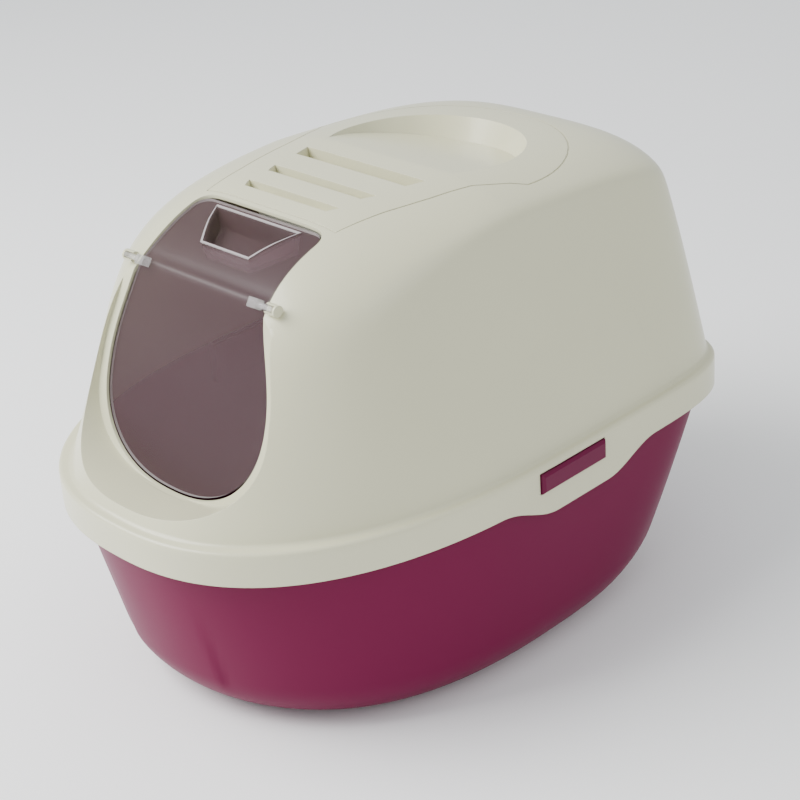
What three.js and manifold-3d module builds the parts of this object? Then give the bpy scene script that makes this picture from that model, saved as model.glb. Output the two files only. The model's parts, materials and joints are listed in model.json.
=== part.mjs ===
// Cat litter box with hood: a deep tray, a hood that drops over its rim, a see-saw swing door on
// two snap-in pins, a press latch in each side of the hood's skirt and a charcoal filter in the roof.
// Millimetres. +Z is up, the door faces -Y, and the origin is on the floor under the middle.
import * as THREE from "three";
import { mergeVertices } from "three/addons/utils/BufferGeometryUtils.js";
import Module from "manifold-3d";

const wasm = await Module();
wasm.setup();

// ---------- driving dimensions ----------
const LENGTH = 540; // skirt, front to back
const WIDTH = 400; // skirt, side to side
const HOOD_TOP = 390.4; // crown of the roof above the floor
const LEDGE_Z = 190; // top of the hood's skirt
const SKIRT_LOW_Z = 161.5; // lower edge of the skirt at the front and back
const LEDGE_WIDTH = 8;
const HOOD_WALL = 2.6;
const TRAY_WALL = 2.8;
const TRAY_FLOOR = 3;
const TRAY_CORNER = 47; // radius between the tray's floor and its walls
const RIM_GAP = 0.4; // between the tray's rim and the underside of the ledge
const SKIRT_GAP = 1; // least gap between the tray's rim and the skirt
const RIM_BEAD = 1.5;
const RIM_BEAD_HEIGHT = 7;
const SIDE_LEAN = 0.281; // how far the hood's side panels lean in, per mm of height
const SCALLOP_DROP = 17; // how far the skirt dips under each latch
const SCALLOP_Y = 46;
const SCALLOP_HALF = 30; // half length of its level part
const SCALLOP_RUN = 62; // length of each flank
const LATCH_Y = 34;
const LATCH_LENGTH = 76;
const LATCH_HEIGHT = 17;
const LATCH_Z = 175.5;
const LATCH_PROUD = 3.2; // how far the bar stands out of the skirt
const LATCH_GAP = 0.8;
const DOOR_SILL_Z = LEDGE_Z + 2; // lowest point of the door opening
const FACE_TOP_Z = HOOD_TOP - 49.4; // where the hood's face starts to curve back into the roof
const DOOR_BELLY_Z = DOOR_SILL_Z + 0.49 * (FACE_TOP_Z - DOOR_SILL_Z); // height of its widest point
const DOOR_BELLY = 95; // half width there
const DOOR_WAIST = 73; // half width at its top
const DOOR_WAIST_Z = HOOD_TOP - 18.4;
const DOOR_CORNER = 14;
const DOOR_GAP = 1.8; // gap all round the door
const DOOR_SUNK = 2; // how far the door's face lies below the hood's
const DOOR_WALL = 2.2;
const PIN_HEIGHT = HOOD_TOP - 40.4; // where the pin axis crosses the front
const PIN_PROUD = 3; // how far the axis stands off the front surface
const PIN_RADIUS = 2.3;
const PIN_GAP = 0.5;
const PIN_TIP = 87; // from the middle to the end of each pin
const PIN_BLOCK = 9; // length of the block on the door
const PIN_BLOCK_HALF = 3.8;
const PIN_BLOCK_COVER = 0.8; // plastic of the block over the pin
const PIECE_GAP = 0.3;
const RECESS_Y = 92; // centre of the round recess in the roof
const RECESS_RADIUS = 85;
const RECESS_FRONT_Y = 53; // straight front edge of the recess
const RECESS_DEPTH = 27;
const RECESS_DRAFT = 12; // how much smaller its floor is all round
const RECESS_LIP = 2.4; // depth of its straight front edge
const GROOVES = [
  { rear: 20, width: 18.5, half: 69, depth: 15 },
  { rear: -24.5, width: 13, half: 60, depth: 10 },
  { rear: -57.5, width: 11, half: 54, depth: 8 },
];
const GROOVE_TAPER = 5; // how much shorter each groove's front edge is, at each end
const VENT_WIDTH = 3; // slit through the floor of each groove
const FILTER_LENGTH = 78;
const FILTER_WIDTH = 116;
const FILTER_HEIGHT = 14;
const FILTER_Y = -8; // middle of the filter cassette
const FILTER_Z = HOOD_TOP - 38.4; // underside of the cassette
const FILTER_WALL = 2;
const FILTER_SLATS = 7;
const SLAT_MARGIN = 10; // from the end of each slat to the end of the cassette
const RAIL_LIP = 4;
const FINEST_EDGE = 0.03; // slivers smaller than this are merged away after the cuts

// ---------- small tools ----------
const mix = (a, b, t) => a + (b - a) * t;
const clamp = (v, low, high) => Math.min(high, Math.max(low, v));

// The smaller of two distances, rounded where they cross.
function softMin(a, b, blend) {
  const near = clamp(1 - Math.abs(a - b) / blend, 0, 1);
  return Math.min(a, b) - (near * near * blend) / 4;
}

function solid(geometry) {
  const bare = geometry.clone();
  bare.deleteAttribute("normal");
  bare.deleteAttribute("uv");
  const merged = mergeVertices(bare, 1e-4);
  return new wasm.Manifold(
    new wasm.Mesh({
      numProp: 3,
      vertProperties: merged.attributes.position.array,
      triVerts: new Uint32Array(merged.index.array),
    }),
  );
}

function geometryOf(body) {
  const mesh = body.simplify(FINEST_EDGE).getMesh();
  const position = new Float32Array(mesh.numVert * 3);
  for (let i = 0; i < mesh.numVert; i += 1) {
    position.set(mesh.vertProperties.subarray(i * mesh.numProp, i * mesh.numProp + 3), i * 3);
  }
  const geometry = new THREE.BufferGeometry();
  geometry.setAttribute("position", new THREE.BufferAttribute(position, 3));
  geometry.setIndex(new THREE.BufferAttribute(mesh.triVerts, 1));
  geometry.computeVertexNormals();
  return geometry;
}

// A closed solid through a stack of rings, lowest first, each listed anticlockwise from above.
function loft(rings) {
  const count = rings[0].length;
  const vertices = rings.flat().flatMap((p) => [p.x, p.y, p.z]);
  const triangles = [];
  for (let i = 0; i + 1 < rings.length; i += 1) {
    for (let j = 0; j < count; j += 1) {
      const next = (j + 1) % count;
      const a = i * count + j;
      const b = i * count + next;
      triangles.push(a, b, b + count, a, b + count, a + count);
    }
  }
  [rings[0], rings.at(-1)].forEach((ring, end) => {
    const middle = new THREE.Vector3();
    ring.forEach((p) => middle.addScaledVector(p, 1 / count));
    const centre = vertices.length / 3;
    const start = end ? (rings.length - 1) * count : 0;
    vertices.push(middle.x, middle.y, middle.z);
    for (let j = 0; j < count; j += 1) {
      const pair = [start + j, start + ((j + 1) % count)];
      triangles.push(centre, ...(end ? pair : pair.reverse()));
    }
  });
  const geometry = new THREE.BufferGeometry();
  geometry.setAttribute("position", new THREE.Float32BufferAttribute(vertices, 3));
  geometry.setIndex(triangles);
  return solid(geometry);
}

// An outline drawn in (x, y) and pushed up from z = 0 by depth.
function prism(points, depth) {
  return new THREE.ExtrudeGeometry(new THREE.Shape(points), { depth, bevelEnabled: false });
}

// A front view outline, (x, z), pushed along Y from one y to another.
function prismAlongY(points, fromY, toY) {
  const geometry = prism(points, toY - fromY);
  geometry.rotateX(Math.PI / 2);
  geometry.translate(0, toY, 0);
  return solid(geometry);
}

// A side view outline, (y, z), pushed along X from one x to another.
function prismAlongX(points, fromX, toX) {
  const geometry = prism(points, toX - fromX);
  geometry.applyMatrix4(new THREE.Matrix4().set(0, 0, 1, fromX, 1, 0, 0, 0, 0, 1, 0, 0, 0, 0, 0, 1));
  return solid(geometry);
}

function prismAlongZ(points, fromZ, toZ) {
  const geometry = prism(points, toZ - fromZ);
  geometry.translate(0, 0, fromZ);
  return solid(geometry);
}

function box(sizeX, sizeY, sizeZ, x, y, z) {
  const geometry = new THREE.BoxGeometry(sizeX, sizeY, sizeZ);
  geometry.translate(x, y, z);
  return solid(geometry);
}

function rod(radius, fromX, toX, y, z, sides = 20) {
  const geometry = new THREE.CylinderGeometry(radius, radius, toX - fromX, sides);
  geometry.rotateZ(Math.PI / 2);
  geometry.translate((fromX + toX) / 2, y, z);
  return solid(geometry);
}

// ---------- plan outlines ----------
const HALF_STEPS = 36;
const CREASE_BLEND = 6; // how softly the side panels run into the rounded form

// x of a superellipse at depth y, with its own exponents in front of and behind its widest place.
function reachAt(plan, y) {
  const front = y < plan.widest;
  const span = front ? plan.widest - plan.front : plan.back - plan.widest;
  const [sideExponent, endExponent] = front ? plan.frontCurve : plan.backCurve;
  const share = clamp(Math.abs(y - plan.widest) / span, 0, 1);
  return plan.halfWidth * (1 - share ** endExponent) ** (1 / sideExponent);
}

// One ring of a plan: the superellipse, cut by the side panels where they lie inside it.
function ring(plan, z, sag = () => 0) {
  const half = [];
  for (let i = 0; i <= HALF_STEPS; i += 1) {
    const angle = (Math.PI * i) / HALF_STEPS;
    const front = angle < Math.PI / 2;
    const [sideExponent, endExponent] = front ? plan.frontCurve : plan.backCurve;
    const span = front ? plan.front - plan.widest : plan.back - plan.widest;
    const y = plan.widest + span * Math.abs(Math.cos(angle)) ** (2 / endExponent);
    const flat = front ? plan.flatNose ?? 0 : 0;
    const x = flat + (plan.halfWidth - flat) * Math.abs(Math.sin(angle)) ** (2 / sideExponent);
    half.push([plan.panel ? Math.max(softMin(x, plan.panel(y), CREASE_BLEND), 0) : x, y]);
  }
  half[0][0] = 0;
  half[HALF_STEPS][0] = 0;
  const mirrored = half.slice(1, -1).reverse();
  const points = [...half, ...mirrored.map(([x, y]) => [-x, y])];
  return points.map(([x, y]) => new THREE.Vector3(x, y, z - sag(y)));
}

// The skirt's outline: a rounded front, long sides and squarer back corners.
const skirtPlan = (inset = 0) => ({
  halfWidth: WIDTH / 2 - inset,
  front: inset - LENGTH / 2,
  back: LENGTH / 2 - inset,
  widest: 28.7,
  frontCurve: [2.43, 2.44],
  backCurve: [5.6, 7.1],
});
const skirtReach = (y) => reachAt(skirtPlan(), y);

// ---------- hood ----------
const HOOD_RISE = HOOD_TOP - LEDGE_Z;
const HOOD_FOOT = LENGTH / 2 - LEDGE_WIDTH; // from the middle to the foot of the front and back
const HOOD_WIDEST_Y = 70.8;
const FORM_WIDER = 11.6; // how much wider the rounded form is than the skirt, at the ledge
const FLANK_LEAN = 0.265; // draw-in per mm of height
const FRONT_LEAN = 0.58;
const NOSE_FLAT = 34; // half width of the straight nose of the upper plans
const NOSE_FLAT_RISE = 150; // height above the ledge where it is fully there

// Each shoulder starts this far below the crown, draws in this much at the crown, and is this round.
const FLANK_SHOULDER = { height: 58.4, drawIn: 105.5, power: 2.31 };
const FRONT_SHOULDER = { height: 91.2, drawIn: 124.9, power: 2.83 };
const BACK_SHOULDER = { height: 44.2, drawIn: 80.3, power: 2.34 };

// Superellipse exponents, [side, end], at the ledge and at the crown.
const HOOD_FRONT_CURVES = [[2.47, 1.93], [2.75, 2.03]];
const HOOD_BACK_CURVES = [[5.16, 5.77], [3.36, 3.34]];
const mixPair = ([low, high], t) => low.map((value, i) => mix(value, high[i], t));

function drawnIn({ height, drawIn, power }, z) {
  const rise = clamp((z - HOOD_TOP + height) / height, 0, 1);
  return drawIn * (1 - (1 - rise ** power) ** (1 / power));
}

// The hood's plan at a height: a straight lean and then a rounded shoulder on every side.
function hoodPlan(z, inset = 0) {
  const up = z - LEDGE_Z;
  const share = up / HOOD_RISE;
  const ease = clamp(up / NOSE_FLAT_RISE, 0, 1);
  return {
    halfWidth: WIDTH / 2 + FORM_WIDER - FLANK_LEAN * up - drawnIn(FLANK_SHOULDER, z) - inset,
    front: -(HOOD_FOOT - FRONT_LEAN * up - drawnIn(FRONT_SHOULDER, z)) + inset,
    back: HOOD_FOOT - drawnIn(BACK_SHOULDER, z) - inset,
    widest: HOOD_WIDEST_Y,
    flatNose: NOSE_FLAT * ease * ease * (3 - 2 * ease),
    frontCurve: mixPair(HOOD_FRONT_CURVES, share),
    backCurve: mixPair(HOOD_BACK_CURVES, share),
    panel: (y) => skirtReach(y) - LEDGE_WIDTH - SIDE_LEAN * up - inset,
  };
}

// The roof falls gently towards the back.
const ROOF_FALL = 0.072;
const ROOF_FALL_FROM = 40;
function roofSag(z) {
  const share = clamp((z - LEDGE_Z) / HOOD_RISE, 0, 1);
  return (y) => ROOF_FALL * share ** 3 * Math.max(y - ROOF_FALL_FROM, 0);
}

const SHOULDER_START = HOOD_TOP - 85.4;
const LOWER_RINGS = 4;
const SHOULDER_RINGS = 11;
function bodyHeights() {
  const heights = [];
  for (let i = 0; i < LOWER_RINGS; i += 1) {
    heights.push(mix(LEDGE_Z + 0.3, SHOULDER_START, i / LOWER_RINGS));
  }
  for (let i = 0; i <= SHOULDER_RINGS; i += 1) {
    heights.push(mix(SHOULDER_START, HOOD_TOP, Math.sin((i / SHOULDER_RINGS) * (Math.PI / 2))));
  }
  return heights;
}

const INNER_SHARE = 0.85; // the leaning walls' inset in plan, per mm of wall
const bodyRings = (wall) =>
  bodyHeights().map((z) => ring(hoodPlan(z, wall * INNER_SHARE), z - wall, roofSag(z)));

// Where the front profile runs: each height, and how far behind the hood's nose it lies there.
const FRONT_KNOTS = [
  [DOOR_SILL_Z, 47.8],
  [DOOR_BELLY_Z, 31.5],
  [FACE_TOP_Z, 6.4],
  [HOOD_TOP - 33.9, 2.5],
  [HOOD_TOP - 19.9, 3.4],
  [HOOD_TOP - 12.2, 4.8],
  [HOOD_TOP - 6.8, 7.1],
  [HOOD_TOP - 2.4, 11.7],
].map(([z, behind]) => new THREE.Vector2(hoodPlan(z).front + behind, z));
const DOOR_REAR_Y = FRONT_KNOTS.at(-2).x; // top edge of the opening, in the roof
const FRONT_STEPS = 26;

// The front profile of the door and its surround, (y, z), moved back by a distance.
function frontProfile(back = 0) {
  const curve = new THREE.SplineCurve(FRONT_KNOTS);
  const points = [];
  for (let i = 0; i <= FRONT_STEPS; i += 1) {
    const along = curve.getTangent(i / FRONT_STEPS);
    const p = curve.getPoint(i / FRONT_STEPS);
    points.push(new THREE.Vector2(p.x + along.y * back, p.y - along.x * back));
  }
  return points;
}

// Everything behind the front profile, between two x.
function behindFront(back, half, low = SKIRT_LOW_Z) {
  const face = frontProfile(back).filter((p) => p.y > low);
  const points = [
    new THREE.Vector2(face[0].x, low),
    ...face,
    new THREE.Vector2(face.at(-1).x, face.at(-1).y - 60),
    new THREE.Vector2(face[0].x + 60, low),
  ];
  return prismAlongX(points, -half, half);
}

// Everything in front of the front profile, between two x.
function beforeFront(back, half) {
  const face = frontProfile(back);
  const points = [
    new THREE.Vector2(-LENGTH, SKIRT_LOW_Z),
    new THREE.Vector2(face[0].x, SKIRT_LOW_Z),
    ...face,
    new THREE.Vector2(face.at(-1).x, HOOD_TOP + 60),
    new THREE.Vector2(-LENGTH, HOOD_TOP + 60),
  ];
  return prismAlongX(points, -half, half);
}

// Front view of the door opening, (x, z), grown outwards by a margin: a rounded bowl, then sides
// that draw in to the waist.
function openingOutline(grow, low = DOOR_SILL_Z - grow) {
  const half = [];
  const BOWL_POWER = 2.3;
  for (let i = 0; i <= 14; i += 1) {
    const angle = (i / 14) * (Math.PI / 2);
    const x = (DOOR_BELLY + grow) * Math.sin(angle) ** (2 / BOWL_POWER);
    const z = DOOR_BELLY_Z - (DOOR_BELLY_Z - low) * Math.cos(angle) ** (2 / BOWL_POWER);
    half.push([x, z]);
  }
  for (let i = 1; i <= 8; i += 1) {
    const ease = (1 - Math.cos((Math.PI * i) / 8)) / 2;
    half.push([mix(DOOR_BELLY, DOOR_WAIST, ease) + grow, mix(DOOR_BELLY_Z, DOOR_WAIST_Z, i / 8)]);
  }
  const left = half.slice(1).reverse();
  return [...half, ...left.map(([x, z]) => [-x, z])].map(([x, z]) => new THREE.Vector2(x, z));
}

const OPENING_REACH = 4; // how far the opening's cutter reaches in front of the front profile
// The opening from the front and its last stretch over the roof, as one cutter.
function openingCutter(grow) {
  const front = prismAlongY(openingOutline(grow), -LENGTH, DOOR_REAR_Y - 2);
  const half = DOOR_WAIST + grow;
  const rear = DOOR_REAR_Y + grow;
  const corner = DOOR_CORNER + grow;
  const roof = new THREE.Shape();
  roof.moveTo(-half, -LENGTH / 2);
  roof.lineTo(half, -LENGTH / 2);
  roof.lineTo(half, rear - corner);
  roof.absarc(half - corner, rear - corner, corner, 0, Math.PI / 2, false);
  roof.absarc(corner - half, rear - corner, corner, Math.PI / 2, Math.PI, false);
  const over = prismAlongZ(roof.getPoints(6), DOOR_WAIST_Z - 4, HOOD_TOP + 60);
  return front.add(over).intersect(behindFront(-OPENING_REACH, LENGTH, SKIRT_LOW_Z));
}

// The dished surround of the opening: it widens towards the front, and its sill rises.
const FLARE = 0.25;
const FLARE_START = 9;
const SILL_RISE = 0.15;
const FLARE_REAR_Y = -190;
function flare(wall) {
  const section = (y) => {
    const ahead = Math.max(FLARE_REAR_Y - y, 0);
    const sill = DOOR_SILL_Z + SILL_RISE * (frontProfile()[0].x - y) - wall;
    const outline = openingOutline(FLARE_START + FLARE * ahead + wall, sill);
    return outline.map((p) => new THREE.Vector3(p.x, y, p.y));
  };
  const rings = [section(FLARE_REAR_Y - 100), section(FLARE_REAR_Y), section(FLARE_REAR_Y + 45)];
  return loft(rings.map((r) => r.reverse())).intersect(beforeFront(wall, LENGTH));
}

const RECESS_SIDES = 48;
const ABOVE = 12; // how far the roof's cutters stand up over the crown

// The round recess with a straight front edge, its floor sloping down to the back.
function recess(wall) {
  const draft = RECESS_DRAFT / RECESS_DEPTH;
  const deepest = RECESS_DEPTH + 8 + wall;
  const rings = [deepest, -ABOVE].map((down) => {
    const radius = RECESS_RADIUS - draft * down + wall;
    const points = [];
    for (let i = 0; i < RECESS_SIDES; i += 1) {
      const angle = (i / RECESS_SIDES) * Math.PI * 2;
      const y = RECESS_Y + radius * Math.sin(angle);
      points.push(new THREE.Vector3(radius * Math.cos(angle), y, HOOD_TOP - down));
    }
    return points;
  });
  const back = RECESS_Y + RECESS_RADIUS;
  const slope = RECESS_DEPTH / (back - RECESS_DRAFT - RECESS_FRONT_Y);
  const floorAt = (y) => HOOD_TOP - RECESS_LIP - slope * (y - RECESS_FRONT_Y) - wall;
  const front = RECESS_FRONT_Y - 14;
  const behind = back + 40;
  const aboveFloor = [
    new THREE.Vector2(front, floorAt(front)),
    new THREE.Vector2(behind, floorAt(behind)),
    new THREE.Vector2(behind, HOOD_TOP + 40),
    new THREE.Vector2(front, HOOD_TOP + 40),
  ];
  return loft(rings).intersect(prismAlongX(aboveFloor, -WIDTH / 2, WIDTH / 2));
}

// A finger groove across the roof: upright back wall, slanted ends, front wall leaning forward.
function groove({ rear, width, half, depth }, wall) {
  const level = (z, shorten, frontShift) => [
    new THREE.Vector3(-half + GROOVE_TAPER + shorten - wall, rear - width + frontShift - wall, z),
    new THREE.Vector3(half - GROOVE_TAPER - shorten + wall, rear - width + frontShift - wall, z),
    new THREE.Vector3(half - shorten + wall, rear + wall, z),
    new THREE.Vector3(-half + shorten - wall, rear + wall, z),
  ];
  return loft([level(HOOD_TOP - depth - wall, 3, width * 0.25), level(HOOD_TOP + 6, 0, 0)]);
}

function vent({ rear, width, half, depth }) {
  const z = HOOD_TOP - depth;
  return box(half, VENT_WIDTH, 4 * HOOD_WALL, 0, rear - width * 0.35, z);
}

// The skirt's lower edge: level, with a dip under each latch.
const SCALLOP_STEPS = 48;
function skirtTrim() {
  const reach = SCALLOP_HALF + SCALLOP_RUN;
  const points = [
    new THREE.Vector2(-LENGTH, 0),
    new THREE.Vector2(LENGTH, 0),
    new THREE.Vector2(LENGTH, SKIRT_LOW_Z),
  ];
  for (let i = SCALLOP_STEPS; i >= 0; i -= 1) {
    const y = mix(SCALLOP_Y - reach, SCALLOP_Y + reach, i / SCALLOP_STEPS);
    const out = clamp((Math.abs(y - SCALLOP_Y) - SCALLOP_HALF) / SCALLOP_RUN, 0, 1);
    const dip = (SCALLOP_DROP * (1 + Math.cos(Math.PI * out))) / 2;
    points.push(new THREE.Vector2(y, SKIRT_LOW_Z - dip));
  }
  points.push(new THREE.Vector2(-LENGTH, SKIRT_LOW_Z));
  return prismAlongX(points, -WIDTH, WIDTH);
}

const SKIRT_BOTTOM = SKIRT_LOW_Z - SCALLOP_DROP;

function hoodOuter() {
  const skirt = [
    ring(skirtPlan(), SKIRT_BOTTOM),
    ring(skirtPlan(), LEDGE_Z - 6),
    ring(skirtPlan(1), LEDGE_Z - 2.4),
    ring(skirtPlan(3), LEDGE_Z - 0.5),
    ring(skirtPlan(5), LEDGE_Z),
  ];
  return loft([...skirt, ...bodyRings(0)]);
}

function hoodInner() {
  const skirt = [
    ring(skirtPlan(HOOD_WALL), SKIRT_BOTTOM - 10),
    ring(skirtPlan(HOOD_WALL), LEDGE_Z - HOOD_WALL - 0.4),
  ];
  return loft([...skirt, ...bodyRings(HOOD_WALL)]);
}

// Where the pins turn, (y, z): on the front surface at the pin height, and a little in front of it.
function pinAxis() {
  const face = frontProfile();
  const i = face.findIndex((p) => p.y > PIN_HEIGHT);
  const along = face[i].clone().sub(face[i - 1]).normalize();
  const t = (PIN_HEIGHT - face[i - 1].y) / (face[i].y - face[i - 1].y);
  const on = face[i - 1].clone().lerp(face[i], t);
  const normal = new THREE.Vector2(-along.y, along.x);
  return { y: on.x + normal.x * PIN_PROUD, z: on.y + normal.y * PIN_PROUD, normal };
}
const PIN = pinAxis();
const BORE_RADIUS = PIN_RADIUS + PIN_GAP;
const SADDLE_RADIUS = BORE_RADIUS + 1.8;
const SADDLE_SUNK = 2.9; // its centre below the pin axis, into the hood
const SADDLE_INNER = DOOR_WAIST + 6;
const SADDLE_OUTER = PIN_TIP + 3;

// The rounded rest on the hood that a pin turns in.
function saddle(side) {
  const y = PIN.y - PIN.normal.x * SADDLE_SUNK;
  const z = PIN.z - PIN.normal.y * SADDLE_SUNK;
  const from = side > 0 ? SADDLE_INNER : -SADDLE_OUTER;
  return rod(SADDLE_RADIUS, from, from + SADDLE_OUTER - SADDLE_INNER, y, z, 24);
}

// The two angled rails under the roof that the filter cassette slides on.
function filterRails() {
  const outer = FILTER_WIDTH / 2 + PIECE_GAP;
  const topZ = HOOD_TOP - HOOD_WALL / 2;
  const lipZ = FILTER_Z - PIECE_GAP - HOOD_WALL / 2;
  const rails = [-1, 1].map((side) => {
    const webX = side * (outer + HOOD_WALL / 2);
    const lipX = webX - (side * RAIL_LIP) / 2;
    const web = box(HOOD_WALL, FILTER_LENGTH, topZ - lipZ, webX, FILTER_Y, (topZ + lipZ) / 2);
    return web.add(box(RAIL_LIP + HOOD_WALL, FILTER_LENGTH, HOOD_WALL, lipX, FILTER_Y, lipZ));
  });
  return rails[0].add(rails[1]);
}

function latchWindow(side) {
  const length = LATCH_LENGTH + 2 * LATCH_GAP;
  return box(40, length, LATCH_HEIGHT + 2 * LATCH_GAP, (side * WIDTH) / 2, LATCH_Y, LATCH_Z);
}

function hood() {
  let outer = hoodOuter().subtract(flare(0)).subtract(recess(0));
  let inner = hoodInner().subtract(flare(HOOD_WALL)).subtract(recess(HOOD_WALL));
  for (const g of GROOVES) {
    outer = outer.subtract(groove(g, 0));
    inner = inner.subtract(groove(g, HOOD_WALL));
  }
  let shell = outer.subtract(inner).add(filterRails().intersect(outer));
  shell = shell.subtract(skirtTrim()).subtract(openingCutter(0));
  for (const g of GROOVES) {
    shell = shell.subtract(vent(g));
  }
  for (const side of [-1, 1]) {
    shell = shell.add(saddle(side)).subtract(latchWindow(side));
  }
  return shell.subtract(rod(BORE_RADIUS, -PIN_TIP - 1, PIN_TIP + 1, PIN.y, PIN.z, 24));
}

// ---------- tray ----------
const TRAY_TOP = LEDGE_Z - HOOD_WALL - 0.4 - RIM_GAP;
const RIM_INSET = HOOD_WALL + SKIRT_GAP + RIM_BEAD; // from the skirt's outside to the tray's wall
const RIM_REACH = LENGTH / 2 - RIM_INSET;
const TRAY_WIDEST_Y = 25.4;
const FLOOR_FRONT = LENGTH / 2 - 45.7; // the walls carried straight down to the floor
const FLOOR_BACK = LENGTH / 2 - 50.6;
const FLOOR_HALF = WIDTH / 2 - 9.4;
const RIM_HALF = WIDTH / 2 + 9.5; // the rounded form at the rim, before the side walls cut it
const FLOOR_DRAW_IN = 5; // how much the side walls lean in from rim to floor
const FLOOR_NARROW = 1.2; // how much sooner they turn in to the nose at the floor

// Superellipse exponents, [side, end], at the floor and at the rim.
const TRAY_FRONT_CURVES = [[2, 2.61], [2.31, 1.84]];
const TRAY_BACK_CURVES = [[3.33, 1.92], [5.1, 4.1]];

// The tray's plan at a height: from a rounder, shorter floor to the rim inside the skirt.
function trayPlan(z, inset = 0) {
  const share = z / TRAY_TOP;
  const under = clamp(1 - z / TRAY_CORNER, 0, 1);
  const off = TRAY_CORNER * (1 - Math.sqrt(1 - under * under)) + inset;
  const middle = skirtPlan().widest;
  const sideInset = RIM_INSET + FLOOR_DRAW_IN * (1 - share) + off;
  return {
    halfWidth: mix(FLOOR_HALF, RIM_HALF, share) - off,
    front: -mix(FLOOR_FRONT, RIM_REACH, share) + off,
    back: mix(FLOOR_BACK, RIM_REACH, share) - off,
    widest: TRAY_WIDEST_Y,
    frontCurve: mixPair(TRAY_FRONT_CURVES, share),
    backCurve: mixPair(TRAY_BACK_CURVES, share),
    panel: (y) => {
      const stretch = y < middle ? mix(FLOOR_NARROW, 1, share) : 1;
      const stretched = Math.max(middle + (y - middle) * stretch, LEDGE_WIDTH - LENGTH / 2);
      return skirtReach(stretched) - sideInset;
    },
  };
}

function trayHeights() {
  const low = [0, 1.5, 6, 14, 27, TRAY_CORNER];
  return [...low, 75, 105, 135, 160, TRAY_TOP - RIM_BEAD_HEIGHT];
}

const NICHE_DEPTH = 12;
const NICHE_LOW_Z = SKIRT_BOTTOM + 7;
const NICHE_SPARE = 7; // past each end of the latch's bar

// The niche in the tray's wall that a latch's hook moves in.
function latchNiche(side, wall) {
  const length = LATCH_LENGTH + 2 * (NICHE_SPARE + wall);
  const height = 2 * (TRAY_TOP - NICHE_LOW_Z + wall);
  const x = side * (skirtReach(LATCH_Y) - HOOD_WALL);
  return box(2 * (NICHE_DEPTH + wall), length, height, x, LATCH_Y, TRAY_TOP);
}

function tray() {
  const beadFoot = TRAY_TOP - RIM_BEAD_HEIGHT;
  const lift = (z) => TRAY_FLOOR * clamp(1 - z / TRAY_CORNER, 0, 1);
  const outer = [
    ...trayHeights().map((z) => ring(trayPlan(z), z)),
    ring(trayPlan(beadFoot + 0.5, -RIM_BEAD), beadFoot + 0.6),
    ring(trayPlan(TRAY_TOP, -RIM_BEAD), TRAY_TOP),
  ];
  const inner = [
    ...trayHeights().map((z) => ring(trayPlan(z, TRAY_WALL), z + lift(z))),
    ring(trayPlan(TRAY_TOP + 5, TRAY_WALL), TRAY_TOP + 5),
  ];
  const block = loft(outer);
  let shell = block.subtract(loft(inner));
  for (const side of [-1, 1]) {
    shell = shell.add(latchNiche(side, TRAY_WALL).intersect(block)).subtract(latchNiche(side, 0));
  }
  return shell;
}

// ---------- door ----------
const POCKET_REAR = DOOR_REAR_Y - 4.6;
const POCKET_FRONT = DOOR_REAR_Y - 50.1;
const POCKET_HALF_REAR = DOOR_WAIST - 19;
const POCKET_HALF_FRONT = DOOR_WAIST - 38;
const POCKET_FLOOR_Z = HOOD_TOP - 28.4;
const POCKET_FALL = 9; // how much lower its floor is at the front
const POCKET_DRAFT = 9;
const POCKET_WALL = 2.4;

// The finger pocket's form, shrunk by its wall.
function fingerPocket(wall) {
  const level = (rearZ, frontZ, draft) => {
    const inset = wall + draft;
    const rearY = POCKET_REAR - wall - draft / 2;
    return [
      new THREE.Vector3(inset - POCKET_HALF_FRONT, POCKET_FRONT + inset, frontZ),
      new THREE.Vector3(POCKET_HALF_FRONT - inset, POCKET_FRONT + inset, frontZ),
      new THREE.Vector3(POCKET_HALF_REAR - inset, rearY, rearZ),
      new THREE.Vector3(inset - POCKET_HALF_REAR, rearY, rearZ),
    ];
  };
  const floor = POCKET_FLOOR_Z + wall;
  const above = HOOD_TOP + ABOVE;
  return loft([level(floor, floor - POCKET_FALL, POCKET_DRAFT), level(above, above, 0)]);
}

function door() {
  const full = behindFront(DOOR_SUNK, DOOR_BELLY);
  const shell = full.subtract(behindFront(DOOR_SUNK + DOOR_WALL, LENGTH, SKIRT_LOW_Z - 50));
  const tub = fingerPocket(0).intersect(full);
  return shell.add(tub).subtract(fingerPocket(POCKET_WALL)).intersect(openingCutter(-DOOR_GAP));
}

function hingePin(side) {
  const blockOuter = DOOR_WAIST - DOOR_GAP;
  const foot = PIECE_GAP - DOOR_SUNK - PIN_PROUD; // the block's underside, from the axis
  const crown = PIN_RADIUS + PIN_BLOCK_COVER;
  const x = side * (blockOuter - PIN_BLOCK / 2);
  const block = box(PIN_BLOCK, 2 * PIN_BLOCK_HALF, crown - foot, x, 0, (crown + foot) / 2);
  const lean = THREE.MathUtils.radToDeg(Math.atan2(-PIN.normal.x, PIN.normal.y));
  const turned = block.rotate([lean, 0, 0]).translate([0, PIN.y, PIN.z]);
  const inner = side > 0 ? blockOuter - 1 : -PIN_TIP;
  return turned.add(rod(PIN_RADIUS, inner, inner + PIN_TIP - blockOuter + 1, PIN.y, PIN.z));
}

// ---------- latches ----------
const LATCH_BEVEL = 2;
const FLANGE_WALL = 2;
const FLANGE_LIP = 4; // how far the flange reaches past each end of the bar
const HOOK_WIDTH = 24;
const HOOK_NOSE = 2.5;

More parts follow.
